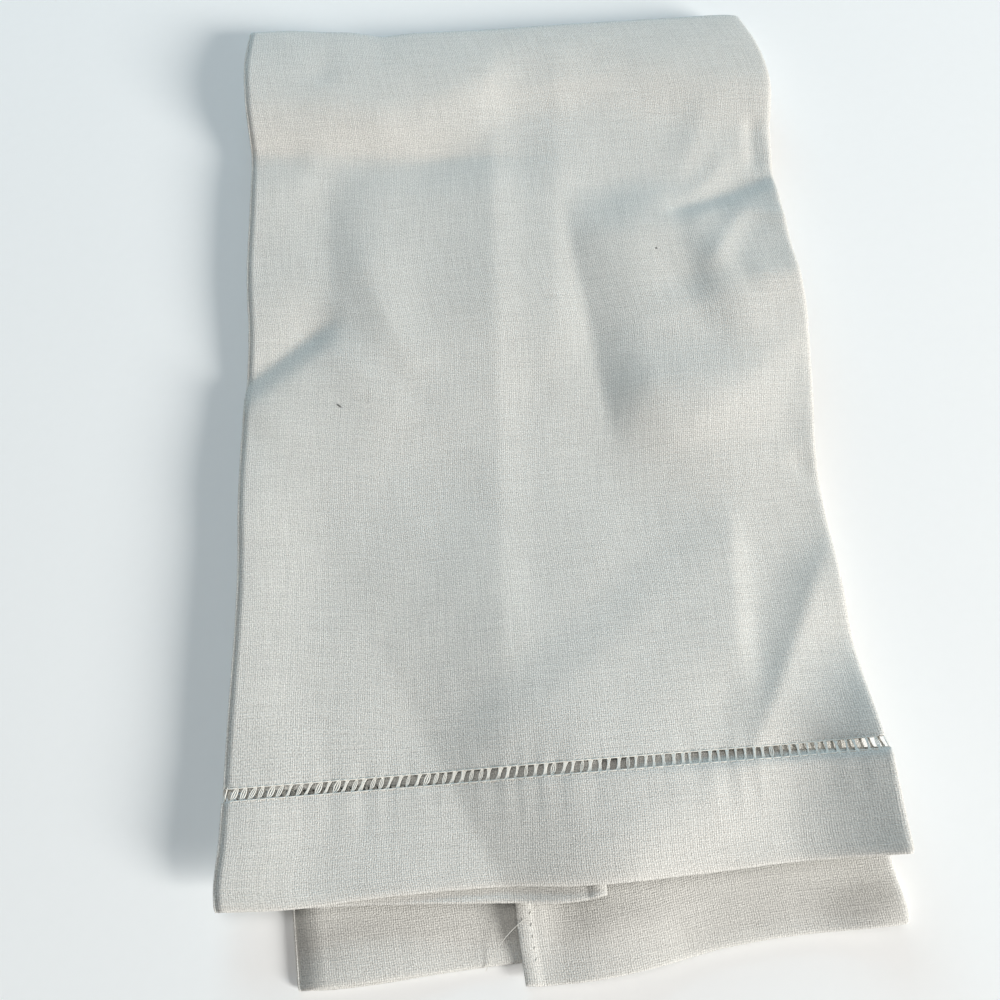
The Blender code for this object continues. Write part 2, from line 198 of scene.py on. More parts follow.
# The ladder's bars, by the distance across the open towel: how far the top of a bar lies to the
# right of its foot, how far its threads spread, and the share of bars that are a loose loop
Bars = namedtuple("Bars", "across slant fan loops")
LADDER_BARS = (
    Bars(0.000, 0.0007, 1.0, 0.4), Bars(0.095, 0.0014, 1.3, 0.8), Bars(0.135, 0.0012, 1.2, 0.7),
    Bars(0.170, 0.0009, 1.1, 0.3), Bars(0.200, 0.0005, 1.0, 0.1), Bars(0.255, 0.0003, 0.9, 0.1),
    Bars(0.356, 0.0004, 0.9, 0.2),
)

# How finely the cloth is drawn
ROW_STEP = {"front": 0.0015, "back": 0.0042}
HEM_ROWS = {"front": 15, "back": 9}
TIP_ROWS = 16
BODY_STEPS = 104
FLAP_STEPS = 18
LEFT_FOLD_STEPS, RIGHT_FOLD_STEPS = 6, 7


def smooth(t):
    """0 below 0, 1 above 1, and a soft step between."""
    t = np.clip(t, 0.0, 1.0)
    return t * t * (3 - 2 * t)


def ramp(at, start, width):
    """0 up to start, 1 from a width beyond it, and a soft step between."""
    return smooth((at - start) / width)


def curve(rows, at, column):
    """A smooth curve through a table's rows, read at its first column's value."""
    knots = np.array([row[0] for row in rows])
    values = np.array([getattr(row, column) for row in rows])
    order = np.arange(len(rows))
    before, after = np.maximum(order - 1, 0), np.minimum(order + 1, len(rows) - 1)
    slopes = (values[after] - values[before]) / (knots[after] - knots[before])
    at = np.clip(at, knots[0], knots[-1])
    i = np.clip(np.searchsorted(knots, at, side="right") - 1, 0, len(rows) - 2)
    span = knots[i + 1] - knots[i]
    t = (at - knots[i]) / span
    return (values[i] * (1 + 2 * t) * (1 - t) ** 2 + values[i + 1] * t * t * (3 - 2 * t)
            + span * (slopes[i] * t * (1 - t) ** 2 - slopes[i + 1] * t * t * (1 - t)))


def fold_height(fold, x, y):
    """Height that one fold adds at points of the front leaf."""
    start_fade = 0.25
    length = hypot(fold.x1 - fold.x0, fold.y1 - fold.y0)
    ax, ay = (fold.x1 - fold.x0) / length, (fold.y1 - fold.y0) / length
    along = ((x - fold.x0) * ax + (y - fold.y0) * ay) / length
    aside = (x - fold.x0) * ay - (y - fold.y0) * ax
    if fold.rise < 0:
        aside = -aside
    rise = abs(fold.rise)
    ends = smooth(along / start_fade) * smooth((1 - along) / fold.fade)
    bank = np.sin(pi / 2 * np.clip(aside, 0.0, rise) / rise)
    return fold.height * ends * np.where(aside < rise, bank, 1 - smooth((aside - rise) / fold.fall))


def crease_height(crease, x, y):
    """Height that one crease adds at points of the front leaf."""
    fade, sharpness = 0.3, 1.6
    length = hypot(crease.x1 - crease.x0, crease.y1 - crease.y0)
    ax, ay = (crease.x1 - crease.x0) / length, (crease.y1 - crease.y0) / length
    along = np.clip(((x - crease.x0) * ax + (y - crease.y0) * ay) / length, 0.0, 1.0)
    aside = (x - crease.x0) * ay - (y - crease.y0) * ax - crease.bow * 4 * along * (1 - along)
    away = np.sqrt(aside * aside + crease.soft ** 2) - crease.soft
    width = np.where(aside < 0, crease.left, crease.right)
    ends = smooth(along / fade) * smooth((1 - along) / fade)
    return crease.height * ends * np.clip(1 - away / width, 0.0, 1.0) ** sharpness


def soft_waves(x, y):
    """The slight waves of cloth that was folded for long."""
    wide_height, small_height = 0.00024, 0.00006
    wide = np.sin(x * 92 + 1.3 + 2.0 * np.sin(y * 31)) * np.sin(y * 74 + 0.4 + 1.5 * np.sin(x * 47))
    small = np.sin(x * 233 + 0.7 + np.sin(y * 83)) * np.sin(y * 171 + 2.1 + np.sin(x * 119))
    return wide_height * wide + small_height * small


def hem_puckers(x, y):
    """Short upright puckers that the hemstitching draws into the cloth, mostly of the hem."""
    height, foot, below_foot, top, above_top = 0.00015, -0.0765, 0.0095, -0.0725, 0.0040
    gather = np.sin(x * 1000 + 1.6 * np.sin(x * 217) + 0.7) * (0.6 + 0.4 * np.sin(x * 143 + 1.0))
    below = np.exp(-(np.minimum(y - foot, 0.0) / below_foot) ** 2)
    above = np.exp(-(np.maximum(y - top, 0.0) / above_top) ** 2)
    return height * gather * below * above


def hem_lean(x, y):
    """The front hem is stiffer than the cloth above its ladder, and rises a little to the right."""
    height, ladder_top, ladder_height = 0.0022, 0.0724, 0.0035
    return height * ramp(x, -0.004, 0.085) * ramp(-y, ladder_top, ladder_height)


def front_relief(x, y, distance):
    """Height of the front leaf's folds above its flat lie. They fade out at the cross fold."""
    height = sum(fold_height(fold, x, y) for fold in FRONT_FOLDS.values())
    height = height + sum(crease_height(crease, x, y) for crease in FRONT_CREASES.values())
    height = height + soft_waves(x, y) + hem_puckers(x, y) + hem_lean(x, y)
    return height * ramp(distance, 0.006, 0.020)


def tip_arc(turn):
    """Distance from the fold's tip, height and outward direction on the tip's arc."""
    return TIP_RADIUS * (1 - cos(turn)), TIP_RADIUS * (1 + sin(turn)), -cos(turn), sin(turn)


def front_lie(distance, x):
    """Height and outward direction of the front leaf, behind the tip's arc."""
    join, join_height, _, _ = tip_arc(TIP_REACH)
    crest = curve(CREST_DISTANCE, x, "y")
    start_slope = 1 / tan(TIP_REACH)
    crest_height = join_height + start_slope * (crest - join) / 2
    rising = start_slope * (crest - distance) / (crest - join)
    t = np.clip((distance - crest) / SETTLE, 0.0, 1.0)
    drop = FRONT_REST - crest_height
    near = distance < crest
    height = crest_height + np.where(near, -rising * (crest - distance) / 2, drop * smooth(t))
    slope = np.where(near, rising, drop * 6 * t * (1 - t) / SETTLE)
    steep = np.sqrt(1 + slope * slope)
    return height, -slope / steep, 1 / steep


class Row:
    """A row of threads across the towel: its leaf, and how far it is from the cross fold."""

    def __init__(self, leaf, share=0.0, turn=0.0, hem=0.0, setback=0.0, thick=LINEN_THICK):
        self.leaf = leaf
        self.share = share        # share of the leaf, from the cross fold
        self.turn = turn          # turn round the tip's arc
        self.hem = hem            # 1 where the row keeps its distance from the hem
        self.setback = setback    # that distance
        self.thick = thick

    def edges_at(self):
        """The share at which the tables of edges are read."""
        at_hem = 1 - self.setback / LEAF_LENGTH
        return self.share * (1 - self.hem) + at_hem * self.hem


def leaf_rows(leaf):
    """Rows of one leaf from the cross fold to its ladder, and then those of its hem."""
    bend = 0.83                        # from this share of the leaf, rows turn to follow the hem
    above, below = 0.0004, 0.0003      # the cloth is whole again this far from the drawn threads
    thinned = 0.8                      # share of the thickness left beside them
    rim, rim_rows = 0.0013, ((0.0005, 0.70), (0.0, 0.26))    # the hem's edge is rounded
    top = HEM_DEPTH + LADDER_HEIGHT
    count = round(bend * LEAF_LENGTH / ROW_STEP[leaf])
    rows = [Row(leaf, bend * k / count) for k in range(1, count + 1)]
    count = round(((1 - bend) * LEAF_LENGTH - top) / ROW_STEP[leaf])
    rows += [Row(leaf, bend, hem=k / count, setback=top) for k in range(1, count)]
    rows += [Row(leaf, bend, hem=1.0, setback=top + above)]
    rows += [Row(leaf, bend, hem=1.0, setback=top, thick=thinned * LINEN_THICK)]
    hem = [Row(leaf, bend, hem=1.0, setback=HEM_DEPTH, thick=thinned * HEM_THICK)]
    inner = np.linspace(HEM_DEPTH - below, rim, HEM_ROWS[leaf])
    hem += [Row(leaf, bend, hem=1.0, setback=s, thick=HEM_THICK) for s in inner]
    hem += [Row(leaf, bend, hem=1.0, setback=s, thick=share * HEM_THICK) for s, share in rim_rows]
    return rows, hem


def layer_depth(level):
    """Depth of a layer's middle below the outside of the strip."""
    return LINEN_THICK / 2 + level * LAYER_PITCH


class Section:
    """The strip cut across at one row, as columns from the left flap's free edge to the right
    flap's. outward is the direction to the cloth's face, across and down."""

    def __init__(self, row):
        table = BACK_EDGES if row.leaf == "back" else FRONT_EDGES
        at = row.edges_at()
        left, right, left_flap, right_flap = (
            curve(table, at, name) for name in Edges._fields[1:])
        self.x, self.depth, self.level = [], [], []
        self.out_x, self.out_depth, self.thick = [], [], []
        self.flap(left_flap, left + LAYER_PITCH / 2 + LINEN_THICK / 2, 1, row)
        self.fold(left, -1, 1, LEFT_FOLD_STEPS, row)
        start = left + LAYER_PITCH / 2 + LINEN_THICK / 2
        end = right - LAYER_PITCH - LINEN_THICK / 2
        across = np.linspace(start, end, BODY_STEPS + 1)
        self.columns(across, layer_depth(0), 0, 0, -1, row.thick)
        self.fold(right, 1, 2, RIGHT_FOLD_STEPS, row)
        self.flap(right_flap, end, 2, row)
        for name in ("x", "depth", "level", "out_x", "out_depth", "thick"):
            setattr(self, name, np.concatenate(getattr(self, name)))
        steps = np.hypot(np.diff(self.x), np.diff(self.depth))
        run = np.concatenate([[0.0], np.cumsum(steps)])
        self.across = run / run[-1] * FLAT_WIDTH

    def columns(self, x, depth, level, out_x, out_depth, thick):
        ones = np.ones(len(x))
        self.x.append(x)
        self.depth.append(depth * ones)
        self.level.append(level * ones)
        self.out_x.append(out_x * ones)
        self.out_depth.append(out_depth * ones)
        self.thick.append(thick * ones)

    def flap(self, free_edge, fold_stop, level, row):
        """A flat flap, with the narrow hem along its free edge."""
        side = 1 if level == 1 else -1
        width = side * (free_edge - fold_stop)
        rounded, whole, even = 0.00035, 0.0012, 0.0065
        over = SIDE_HEM_WIDTH + np.array([-STITCH_INSET, STITCH_INSET, whole])
        near = np.concatenate([[0.0, rounded, SIDE_HEM_WIDTH / 2], over])
        inward = np.concatenate([near, np.linspace(even, width, FLAP_STEPS)])
        thick = np.full(len(inward), row.thick)
        hem_thick = SIDE_HEM_THICK * min(1.0, row.thick / LINEN_THICK)
        thick[1:4] = np.maximum(thick[1:4] * 1.2, hem_thick)
        thick[0] = 0.5 * thick[1]
        thick[4] = 0.62 * row.thick     # drawn down by the stitches
        x = free_edge - side * inward
        if level == 2:
            x, thick = x[::-1], thick[::-1]
        self.columns(x, layer_depth(level), level, 0, 1, thick)

    def fold(self, edge, side, level, steps, row):
        """The turn of a long fold, from the flap to the body on the left and back on the right."""
        middle = level * LAYER_PITCH / 2
        turn = np.linspace(-pi / 2, pi / 2, steps + 1)[1:-1] * side
        lean, drop = side * np.cos(turn), np.sin(turn) * side
        x = edge - side * (middle + LINEN_THICK / 2) + middle * lean
        self.columns(x, 0, 0, 0, 0, row.thick)
        self.depth[-1] = LINEN_THICK / 2 + middle * (1 + drop)
        self.level[-1] = level * (1 + drop) / 2
        self.out_x[-1], self.out_depth[-1] = lean, drop


def along_leaf(row, x, level, layer, start):
    """Distance from the cross fold's tip. The layers part only towards the hem."""
    free = start + row.share * (LEAF_LENGTH - start)
    if row.hem == 0.0:
        return np.full(len(x), free)
    body, left, right = (curve(line, x, "y") for line in HEMS[row.leaf])
    flap = np.where(layer == 1, left, right)
    weight = np.clip(level / np.maximum(layer, 1), 0.0, 1.0)
    hem = body * (1 - weight) + flap * weight
    if row.leaf == "front":
        foot = curve(FRONT_LADDER_FOOT, x, "y") - body - HEM_DEPTH
        hem = hem + foot * (1 - weight) * min(row.setback / HEM_DEPTH, 1.0)
    kept = curve(FOLD_TIP, x, "y") - hem - row.setback
    return free * (1 - row.hem) + kept * row.hem


def overhang_droop(x, share):
    """How far the front leaf hangs down where it reaches past the back leaf's left fold."""
    over = curve(BACK_EDGES, share * 0.93, "left_fold") - x
    return 0.0005 * smooth(over / 0.018)


def end_lift(level, x, y):
    """The back leaf's flaps puff up where their end lies free of the front leaf. The right one's
    free edge stands up most where it comes out from under the front hem."""
    low, high = np.minimum(level, 1.0), np.maximum(level - 1.0, 0.0)
    free = ramp(-y, 0.1020, 0.009)
    left_puff = 0.0013 * ramp(x, -0.056, 0.012) * (1 - ramp(x, -0.036, 0.026))
    right_puff = 0.0015 * ramp(x, 0.004, 0.008) * (1 - ramp(x, 0.024, 0.016))
    right_puff = right_puff + 0.0026 * ramp(x, 0.068, 0.018)
    lift = free * (left_puff + right_puff) * low
    near_hem = ramp(-y, 0.0860, 0.016) * (1 - 0.85 * ramp(-y, 0.1070, 0.014))
    edge = 1 - 0.60 * ramp(x, 0.001, 0.005) + 0.50 * ramp(x, 0.006, 0.012)
    lift = lift + 0.0023 * edge * (1 - ramp(x, 0.016, 0.040)) * near_hem * high
    return lift - LAYER_SINK * level * ramp(-y, 0.0600, 0.030)


def hem_curl(level, x, y):
    """The front leaf's left flap turns up a little where its hem looks out under the body's."""
    past = curve(FRONT_BODY_HEM, x, "y") - y
    return 0.0009 * smooth(past / 0.0032) * np.minimum(level, 1.0)


def drawn_up(level, x, distance):
    """How much nearer the front leaf's right flap lies to the cloth above it, where no other
    layer is between them."""
    free = ramp(x, 0.022, 0.008) * (1 - ramp(x, 0.074, 0.010))
    return 0.0016 * free * np.maximum(level - 1.0, 0.0) * ramp(distance, 0.040, 0.030)


def place(row, x, depth, level, layer):
    """Points of the folded towel, for places across the strip and depths in it."""
    tip = curve(FOLD_TIP, x, "y")
    if row.leaf == "tip":
        distance, height, out_distance, out_up = tip_arc(row.turn)
        y = tip - distance + depth * out_distance
        z = height - depth * out_up
    elif row.leaf == "front":
        distance = along_leaf(row, x, level, layer, tip_arc(TIP_REACH)[0])
        height, out_distance, out_up = front_lie(distance, x)
        y = tip - distance
        height = height + front_relief(x, y, distance) - overhang_droop(x, row.edges_at())
        depth = depth - drawn_up(level, x, distance)
        y = y + depth * out_distance
        z = height - depth * out_up + hem_curl(level, x, y)
    else:
        y = tip - along_leaf(row, x, level, layer, TIP_RADIUS)
        z = depth + end_lift(level, x, y)
        if row.hem == 1.0 and row.setback <= HEM_DEPTH:
            z = z + (HEM_THICK - LINEN_THICK) / 2    # the hem lies on the table too
    return np.stack([x - PLAN_ORIGIN[0], y - PLAN_ORIGIN[1], z + 0 * x], axis=1)


class Sheet:
    """The cloth's face and reverse as grids of points, row by row."""

    def __init__(self, rows):
        self.rows = rows
        self.face, self.reverse, self.across = [], [], []
        for row in rows:
            cut = Section(row)
            layer = np.where(np.arange(len(cut.x)) < len(cut.x) * 0.5, 1, 2)
            half = cut.thick / 2
            for grid, side in ((self.face, 1), (self.reverse, -1)):
                x = cut.x + side * half * cut.out_x
                depth = cut.depth + side * half * cut.out_depth
                grid.append(place(row, x, depth, cut.level, layer))
            self.across.append(cut.across)
        self.face, self.reverse = np.array(self.face), np.array(self.reverse)
        self.across = np.array(self.across)
        self.middle = (self.face + self.reverse) / 2
        body = self.middle.shape[1] // 2
        steps = np.linalg.norm(np.diff(self.middle[:, body], axis=0), axis=1)
        run = np.concatenate([[0.0], np.cumsum(steps)])
        self.along = run / run[-1] * FLAT_LENGTH

    def outward(self, row):
        out = self.face[row] - self.reverse[row]
        return out / np.linalg.norm(out, axis=1)[:, None]


def on_open_cloth(sheet, x, y):
    """The place across and along the open towel of one point of the front leaf's face."""
    lowest = 0.0060     # all of the front leaf's face lies higher than this
    at = np.array([x - PLAN_ORIGIN[0], y - PLAN_ORIGIN[1]])
    off = np.linalg.norm(sheet.face[:, :, :2] - at, axis=2)
    height, under = sheet.face[:, :, 2], sheet.reverse[:, :, 2]
    off[(height < lowest) | (height < under)] = 1.0
    r, c = np.unravel_index(np.argmin(off), off.shape)
    across, along = at - sheet.face[r, c, :2]
    return sheet.across[r, c] + across, sheet.along[r] + along


def band_faces(first, last, columns, reverse_start):
    """Faces of the closed band of cloth from one row to another."""
    faces = []
    for r in range(first, last):
        for c in range(columns - 1):
            a, b = r * columns + c, (r + 1) * columns + c
            faces.append((a, a + 1, b + 1, b))
            faces.append((reverse_start + a, reverse_start + b,
                          reverse_start + b + 1, reverse_start + a + 1))
    border = [first * columns + c for c in range(columns)]
    border += [r * columns + columns - 1 for r in range(first + 1, last + 1)]
    border += [last * columns + c for c in range(columns - 2, -1, -1)]
    border += [r * columns for r in range(last - 1, first, -1)]
    for a, b in zip(border, border[1:] + border[:1]):
        faces.append((a, reverse_start + a, reverse_start + b, b))
    return faces


def link(name, mesh):
    made = bpy.data.objects.new(name, mesh)
    bpy.context.scene.collection.objects.link(made)
    return made


def cloth_piece(sheet, bands, material):
    """The towel's cloth, with the drawn-thread bands left open."""
    rows, columns = sheet.across.shape
    faces = []
    for first, last in bands:
        faces += band_faces(first, last, columns, rows * columns)
    points = np.concatenate([sheet.face.reshape(-1, 3), sheet.reverse.reshape(-1, 3)])
    mesh = bpy.data.meshes.new("towel_cloth")
    mesh.from_pydata(points.tolist(), [], faces)
    mesh.update()
    corners = np.zeros(len(mesh.loops), dtype=np.int32)
    mesh.loops.foreach_get("vertex_index", corners)
    along = np.repeat(sheet.along, columns)
    threads = np.stack([sheet.across.ravel(), along], axis=1)
    threads = np.concatenate([threads, threads])[corners]
    mesh.uv_layers.new(name="threads").data.foreach_set("uv", threads.astype(np.float32).ravel())
    mesh.shade_smooth()
    mesh.materials.append(material)
    return link("towel_cloth", mesh)


# Materials

def srgb(hex_code):
    """A colour written as sRGB hex, made linear."""
    values = [int(hex_code[i:i + 2], 16) / 255 for i in (0, 2, 4)]
    return [v / 12.92 if v <= 0.04045 else ((v + 0.055) / 1.055) ** 2.4 for v in values] + [1.0]


def add(tree, kind, sources=None, **settings):
    """Adds one node with its settings. sources has a value or another node's output for each
    input, by the input's name or number."""
    made = tree.nodes.new(kind)
    for name, value in settings.items():
        setattr(made, name, value)
    for socket, source in (sources or {}).items():
        if isinstance(source, bpy.types.NodeSocket):
            tree.links.new(source, made.inputs[socket])
        else:
            made.inputs[socket].default_value = source
    return made


def reckon(tree, operation, *values):
    """The result of a math node."""
    return add(tree, "ShaderNodeMath", dict(enumerate(values)), operation=operation).outputs[0]


def bleached_linen(specks):
    """Plain-weave linen, bleached to off-white and pressed. Flax yarn is uneven, so that thick
    and thin places show as short bright and dark streaks both ways. The surface is matt, with
    the small lustre of flax. Real spacing is about 0.5 mm a thread, drawn at 0.55 mm. Each speck
    is given with its middle on the open cloth."""
    pitch, slub_width, slub_length, fleck = 0.55, 0.8, 14.0, 0.40   # millimetres
    material = bpy.data.materials.new("bleached plain-weave linen")
    material.use_nodes = True
    tree = material.node_tree
    shader = tree.nodes["Principled BSDF"]
    cloth = add(tree, "ShaderNodeUVMap", uv_map="threads")
    mm = add(tree, "ShaderNodeVectorMath", {0: cloth.outputs[0], "Scale": 1000.0},
             operation="SCALE")
    waver = add(tree, "ShaderNodeTexNoise", {"Vector": mm.outputs[0], "Scale": 0.35, "Detail": 2.0})
    shifted = add(tree, "ShaderNodeVectorMath", {0: waver.outputs["Color"], 1: (0.7, 0.7, 0.0),
                                                 2: mm.outputs[0]}, operation="MULTIPLY_ADD")
    split = add(tree, "ShaderNodeSeparateXYZ", {0: shifted.outputs[0]})
    turns = []
    for axis in (0, 1):
        turn = reckon(tree, "MULTIPLY", split.outputs[axis], pi / pitch)
        turns.append(reckon(tree, "SINE", turn))
    crossing = reckon(tree, "MULTIPLY", *turns)
    threads = []
    for turn, lift, raised in zip(turns, (0.5, -0.5), (1.0, 0.8)):
        round_thread = reckon(tree, "MULTIPLY", reckon(tree, "ABSOLUTE", turn), raised)
        threads.append(reckon(tree, "MULTIPLY_ADD", crossing, lift, round_thread))
    weave = reckon(tree, "MAXIMUM", *threads)
    slubs = []
    for scale in ((1 / slub_width, 1 / slub_length, 1.0), (1 / slub_length, 1 / slub_width, 1.0)):
        stretched = add(tree, "ShaderNodeVectorMath", {0: mm.outputs[0], 1: scale},
                        operation="MULTIPLY")
        slubs.append(add(tree, "ShaderNodeTexNoise", {"Vector": stretched.outputs[0],
                                                      "Scale": 1.0, "Detail": 3.0,
                                                      "Roughness": 0.6}))
    slub = reckon(tree, "ADD", slubs[0].outputs[0], slubs[1].outputs[0])
    fibres = add(tree, "ShaderNodeTexNoise", {"Vector": mm.outputs[0], "Scale": 1 / fleck,
                                              "Detail": 2.0, "Roughness": 0.7})
    flecks = add(tree, "ShaderNodeMapRange", {"Value": fibres.outputs[0], "From Min": 0.30,
                                              "From Max": 0.70, "To Min": -1.0, "To Max": 1.0})
    height = reckon(tree, "MULTIPLY_ADD", slub, 1.2, weave)
    height = reckon(tree, "MULTIPLY_ADD", flecks.outputs[0], 0.60, height)
    bump = add(tree, "ShaderNodeBump", {"Strength": 0.65, "Distance": 0.00010, "Height": height})
    depth = add(tree, "ShaderNodeMapRange", {"Value": weave, "From Min": 0.2,
                                             "From Max": 1.4, "To Min": 0.0, "To Max": 1.0})
    between = add(tree, "ShaderNodeMix", {0: depth.outputs[0], 6: srgb("CDCBC5"),
                                          7: srgb("E5E3DD")}, data_type="RGBA")
    streak = add(tree, "ShaderNodeMapRange", {"Value": slub, "From Min": 0.7,
                                              "From Max": 1.3, "To Min": 0.92, "To Max": 1.08})
    tone = reckon(tree, "MULTIPLY_ADD", flecks.outputs[0], 0.26, streak.outputs[0])
    toned = add(tree, "ShaderNodeVectorMath", {0: between.outputs[2], "Scale": tone},
                operation="SCALE")
    colour = toned.outputs[0]
    for speck, middle in specks:
        spot = add(tree, "ShaderNodeMapping", {
            "Vector": cloth.outputs[0], "Location": (*middle, 0.0), "Rotation": (0, 0, speck.turn),
            "Scale": (speck.length / 2, speck.width / 2, 1.0)}, vector_type="TEXTURE")
        off = add(tree, "ShaderNodeVectorMath", {0: spot.outputs[0]}, operation="LENGTH")
        mark = add(tree, "ShaderNodeMapRange", {"Value": off.outputs["Value"], "From Min": 1.2,
                                                "From Max": 0.5, "To Min": 0.0, "To Max": 0.85})
        colour = add(tree, "ShaderNodeMix", {0: mark.outputs[0], 6: colour, 7: srgb("2A2620")},
                     data_type="RGBA").outputs[2]
    tree.links.new(colour, shader.inputs["Base Color"])
    tree.links.new(bump.outputs[0], shader.inputs["Normal"])
    shader.inputs["Roughness"].default_value = 0.82
    shader.inputs["Specular IOR Level"].default_value = 0.25
    shader.inputs["Sheen Weight"].default_value = 0.08
    shader.inputs["Sheen Roughness"].default_value = 0.4
    return material


def sewing_thread():
    """Cotton thread, two plies and a soft twist: a little glossier and whiter than the cloth."""
    material = bpy.data.materials.new("twisted cotton thread")
    material.use_nodes = True
    tree = material.node_tree
    shader = tree.nodes["Principled BSDF"]
    place_at = add(tree, "ShaderNodeTexCoord")
    fibre = add(tree, "ShaderNodeTexNoise", {"Vector": place_at.outputs["Object"],
                                             "Scale": 2600.0, "Detail": 2.0})
    tone = add(tree, "ShaderNodeMix", {0: fibre.outputs[0], 6: srgb("D9D6CC"),
                                       7: srgb("F6F4EE")}, data_type="RGBA")
    bump = add(tree, "ShaderNodeBump", {"Strength": 0.4, "Distance": 0.00005,
                                        "Height": fibre.outputs[0]})
    tree.links.new(tone.outputs[2], shader.inputs["Base Color"])
    tree.links.new(bump.outputs[0], shader.inputs["Normal"])
    shader.inputs["Roughness"].default_value = 0.6
    shader.inputs["Specular IOR Level"].default_value = 0.35
    return material


def studio_floor():
    """Matt painted board, near white."""
    material = bpy.data.materials.new("matt white board")
    material.use_nodes = True
    tree = material.node_tree
    shader = tree.nodes["Principled BSDF"]
    place_at = add(tree, "ShaderNodeTexCoord")
    grain = add(tree, "ShaderNodeTexNoise", {"Vector": place_at.outputs["Object"], "Scale": 300.0})
    tone = add(tree, "ShaderNodeMix", {0: grain.outputs[0], 6: srgb("F8F8F7"),
                                       7: srgb("FBFBFA")}, data_type="RGBA")
    tree.links.new(tone.outputs[2], shader.inputs["Base Color"])
    shader.inputs["Roughness"].default_value = 0.9
    shader.inputs["Specular IOR Level"].default_value = 0.1
    return material


# Threads, as many short runs of one shape

def thread_runs():
    """Node tree that lays a run of thread at every point. The point's reach leads to the run's
    far end, its out is the way up from the cloth, and its fan widens the run. Fan is how far the
    outer strands start from the middle one, and Belly is how much farther they are half-way. Bow
    bends the run to its side, Arch is how high its middle stands and Dive how deep its ends go."""
    tree = bpy.data.node_groups.new("thread runs", "GeometryNodeTree")
    sockets = tree.interface
    sockets.new_socket("Points", in_out="INPUT", socket_type="NodeSocketGeometry")
    for name, kind in (("Strands", "NodeSocketInt"), ("Steps", "NodeSocketInt"),
                       ("Radius", "NodeSocketFloat"), ("Fan", "NodeSocketFloat"),
                       ("Belly", "NodeSocketFloat"), ("Bow", "NodeSocketFloat"),
                       ("Arch", "NodeSocketFloat"), ("Dive", "NodeSocketFloat"),
                       ("Thread", "NodeSocketMaterial")):
        sockets.new_socket(name, in_out="INPUT", socket_type=kind)
    sockets.new_socket("Runs", in_out="OUTPUT", socket_type="NodeSocketGeometry")
    given = add(tree, "NodeGroupInput").outputs
    line = add(tree, "GeometryNodeCurvePrimitiveLine", {"Start": (0, 0, 0), "End": (0, 1, 0)})
    steps = add(tree, "GeometryNodeResampleCurve", {"Curve": line.outputs[0],
                                                    "Count": given["Steps"]})
    copies = add(tree, "GeometryNodeDuplicateElements",
                 {"Geometry": steps.outputs[0], "Amount": given["Strands"]}, domain="SPLINE")
    along = add(tree, "GeometryNodeSplineParameter")
    belly = reckon(tree, "SINE", reckon(tree, "MULTIPLY", along.outputs["Factor"], pi))
    last = reckon(tree, "SUBTRACT", given["Strands"], 1.0)
    most = reckon(tree, "MAXIMUM", last, 1.0)
    order = reckon(tree, "DIVIDE", copies.outputs["Duplicate Index"], most)
    side = reckon(tree, "MULTIPLY_ADD", order, 2.0, -1.0)
    waist = reckon(tree, "MULTIPLY_ADD", belly, given["Belly"], given["Fan"])
    bowed = reckon(tree, "MULTIPLY", belly, given["Bow"])
    aside = reckon(tree, "MULTIPLY_ADD", side, waist, bowed)
    risen = reckon(tree, "MULTIPLY", reckon(tree, "ADD", given["Arch"], given["Dive"]), belly)
    up = reckon(tree, "SUBTRACT", risen, given["Dive"])
    offset = add(tree, "ShaderNodeCombineXYZ", {0: aside, 2: up})
    bent = add(tree, "GeometryNodeSetPosition", {"Geometry": copies.outputs[0],
                                                 "Offset": offset.outputs[0]})
    ring = add(tree, "GeometryNodeCurvePrimitiveCircle", {"Resolution": 5,
                                                          "Radius": given["Radius"]})
    tube = add(tree, "GeometryNodeCurveToMesh", {"Curve": bent.outputs[0],
                                                 "Profile Curve": ring.outputs[0],
                                                 "Fill Caps": True})
    reach = add(tree, "GeometryNodeInputNamedAttribute", {"Name": "reach"},
                data_type="FLOAT_VECTOR")
    out = add(tree, "GeometryNodeInputNamedAttribute", {"Name": "out"}, data_type="FLOAT_VECTOR")
    fan = add(tree, "GeometryNodeInputNamedAttribute", {"Name": "fan"}, data_type="FLOAT")
    turn = add(tree, "FunctionNodeAxesToRotation", {"Primary Axis": reach.outputs[0],
                                                    "Secondary Axis": out.outputs[0]},
               primary_axis="Y", secondary_axis="Z")
    length = add(tree, "ShaderNodeVectorMath", {0: reach.outputs[0]}, operation="LENGTH")
    size = add(tree, "ShaderNodeCombineXYZ", {0: fan.outputs[0], 1: length.outputs["Value"],
                                              2: 1.0})
    laid = add(tree, "GeometryNodeInstanceOnPoints", {
        "Points": given["Points"], "Instance": tube.outputs[0], "Rotation": turn.outputs[0],
        "Scale": size.outputs[0]})
    real = add(tree, "GeometryNodeRealizeInstances", {0: laid.outputs[0]})
    rounded = add(tree, "GeometryNodeSetShadeSmooth", {0: real.outputs[0]})
    spun = add(tree, "GeometryNodeSetMaterial", {"Geometry": rounded.outputs[0],
                                                 "Material": given["Thread"]})
    add(tree, "NodeGroupOutput", {0: spun.outputs[0]})
    return tree


